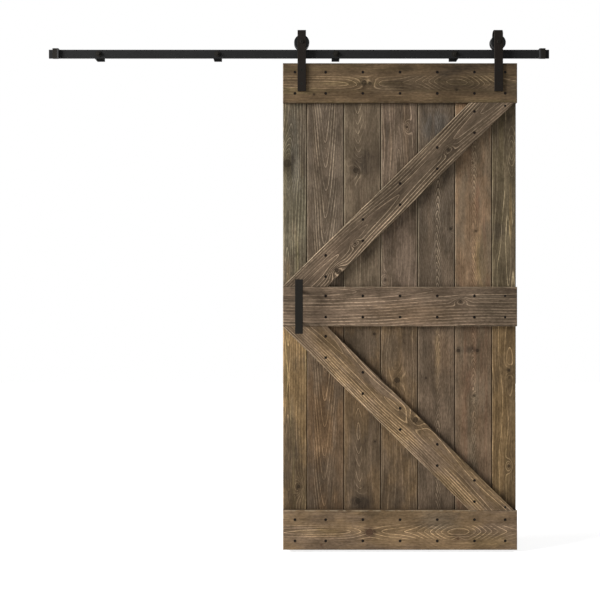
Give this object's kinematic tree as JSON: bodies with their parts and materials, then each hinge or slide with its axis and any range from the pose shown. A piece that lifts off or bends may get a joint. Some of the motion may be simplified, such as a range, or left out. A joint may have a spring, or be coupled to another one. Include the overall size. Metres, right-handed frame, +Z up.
{
  "type": "sliding barn door",
  "caption": "Plank barn door with K-shaped braces and a bar pull, hung by strap rollers from a flat wall track with spacers and end stops.",
  "frame": {"origin": "on the wall plane, at the height of the wall screws and midway between them", "axes": "+X along the track to the right, +Y into the wall, +Z up"},
  "size_m": [2.2, 0.1355, 2.2828],
  "materials": {
    "plank_wood": "dark stained, brushed grain",
    "rail_wood": "dark stained, brushed grain",
    "brace_wood": "dark stained, brushed grain",
    "black_steel": "matte black powder coat",
    "black_nylon": "turned nylon",
    "black_rubber": "matte",
    "bearing_steel": "ground"
  },
  "bodies": {
    "track_frame": {"track": "black_steel", "track_spacers": "black_steel", "wall_screws": "black_steel", "wall_washers": "black_steel", "left_end_stop": "black_steel", "right_end_stop": "black_steel", "left_bumper": "black_rubber", "right_bumper": "black_rubber", "end_stop_set_screws": "black_steel"},
    "door": {"plank_1": "plank_wood", "plank_2": "plank_wood", "plank_3": "plank_wood", "plank_4": "plank_wood", "plank_5": "plank_wood", "plank_6": "plank_wood", "plank_7": "plank_wood", "top_rail": "rail_wood", "middle_rail": "rail_wood", "bottom_rail": "rail_wood", "upper_brace": "brace_wood", "lower_brace": "brace_wood", "top_rail_screws": "black_steel", "middle_rail_screws": "black_steel", "bottom_rail_screws": "black_steel", "upper_brace_screws": "black_steel", "lower_brace_screws": "black_steel", "handle_bar": "black_steel", "handle_posts": "black_steel", "handle_bolts": "black_steel", "handle_washers": "black_steel", "left_hanger_strap": "black_steel", "right_hanger_strap": "black_steel", "strap_bolts": "black_steel", "strap_washers": "black_steel", "strap_nuts": "black_steel", "left_axle_bolt": "black_steel", "right_axle_bolt": "black_steel", "axle_nuts": "black_steel", "axle_bushes": "black_steel", "left_bearing_inner_ring": "bearing_steel", "right_bearing_inner_ring": "bearing_steel"},
    "left_roller": {"left_wheel": "black_nylon", "left_bearing_outer_ring": "bearing_steel", "left_bearing_balls": "bearing_steel"},
    "right_roller": {"right_wheel": "black_nylon", "right_bearing_outer_ring": "bearing_steel", "right_bearing_balls": "bearing_steel"}
  },
  "joints": [
    {"name": "door_slide", "type": "slide", "parent": "track_frame", "child": "door", "axis": [1, 0, 0], "range_m": [-1.0457, 0.1597]},
    {"name": "left_wheel_spin", "type": "hinge", "parent": "door", "child": "left_roller", "pos_m": [0.111, -0.039, 0.0488], "axis": [0, 1, 0], "continuous": true},
    {"name": "right_wheel_spin", "type": "hinge", "parent": "door", "child": "right_roller", "pos_m": [0.973, -0.039, 0.0488], "axis": [0, 1, 0], "continuous": true}
  ],
  "couplings": [
    {"joint": "left_wheel_spin", "follows": "door_slide", "rad_per_m": 33.898},
    {"joint": "right_wheel_spin", "follows": "door_slide", "rad_per_m": 33.898}
  ]
}
